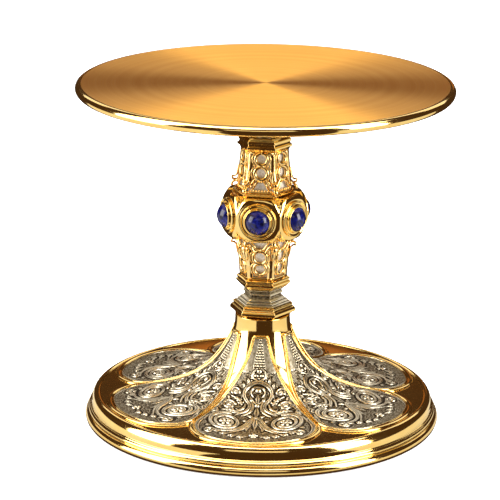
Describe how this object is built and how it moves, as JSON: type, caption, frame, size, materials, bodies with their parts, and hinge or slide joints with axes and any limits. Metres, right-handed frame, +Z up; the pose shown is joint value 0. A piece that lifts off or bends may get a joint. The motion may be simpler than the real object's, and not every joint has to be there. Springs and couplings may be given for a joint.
{
  "type": "altar display stand",
  "caption": "Round gilt altar stand on a hexagonal jewelled stem and a flared foot with chased silver plaques, for raising a sacred vessel.",
  "frame": {"origin": "centre of the foot's underside, on the surface it stands on", "axes": "+Z up along the stem; -Y through the middle of the front plaque"},
  "size_m": [0.18, 0.18, 0.166],
  "materials": {
    "brushed_gilt": "circular brushed gold plate",
    "polished_gilt": "polished gold plate",
    "oxidised_silver": "silver plate, blackened in the recesses",
    "lapis": "polished lapis lazuli",
    "plated_steel": "bright zinc plate"
  },
  "bodies": {
    "root": {"top_plate": "brushed_gilt", "plate_boss": "polished_gilt", "top_calyx": "polished_gilt", "calyx_collar": "polished_gilt", "upper_collar": "polished_gilt", "upper_lantern_cage": "polished_gilt", "upper_plinth": "polished_gilt", "knop_body": "polished_gilt", "lower_lantern_cage": "polished_gilt", "lower_collar": "polished_gilt", "foot_collar": "polished_gilt", "foot_shell": "polished_gilt", "foot_ring": "polished_gilt", "upper_spool": "oxidised_silver", "upper_lantern_core": "oxidised_silver", "lower_lantern_core": "oxidised_silver", "lower_spool": "oxidised_silver", "tie_rod": "plated_steel", "washer_plate": "plated_steel", "tie_nut": "plated_steel", "bezel_1": "polished_gilt", "cabochon_1": "lapis", "plaque_1": "oxidised_silver", "plaque_border_1": "polished_gilt", "bezel_2": "polished_gilt", "cabochon_2": "lapis", "plaque_2": "oxidised_silver", "plaque_border_2": "polished_gilt", "bezel_3": "polished_gilt", "cabochon_3": "lapis", "plaque_3": "oxidised_silver", "plaque_border_3": "polished_gilt", "bezel_4": "polished_gilt", "cabochon_4": "lapis", "plaque_4": "oxidised_silver", "plaque_border_4": "polished_gilt", "bezel_5": "polished_gilt", "cabochon_5": "lapis", "plaque_5": "oxidised_silver", "plaque_border_5": "polished_gilt", "bezel_6": "polished_gilt", "cabochon_6": "lapis", "plaque_6": "oxidised_silver", "plaque_border_6": "polished_gilt"}
  },
  "joints": []
}
